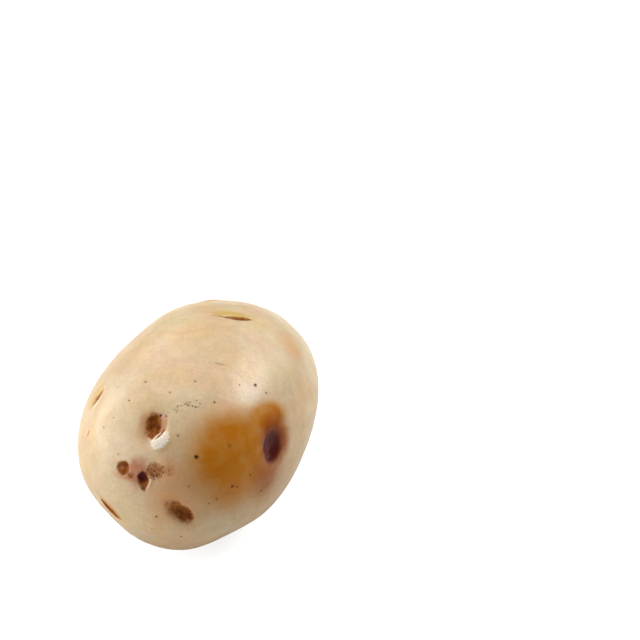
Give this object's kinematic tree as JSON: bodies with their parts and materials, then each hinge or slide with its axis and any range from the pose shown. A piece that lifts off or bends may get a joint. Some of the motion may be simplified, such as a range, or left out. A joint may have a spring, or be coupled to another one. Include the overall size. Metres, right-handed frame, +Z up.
{
  "type": "potato",
  "caption": "Whole table potato, a plump blunt oval with sunken eyes and smooth thin skin, resting on a small flat spot on its side.",
  "frame": {"origin": "on the ground, under the middle of the potato's box", "axes": "+Z up; +Y along the potato, from the rose end, where most eyes sit, to the stem end; +X across it"},
  "size_m": [0.062, 0.09, 0.06],
  "materials": {
    "skin": "satin"
  },
  "bodies": {
    "root": {"potato": "skin"}
  },
  "joints": []
}
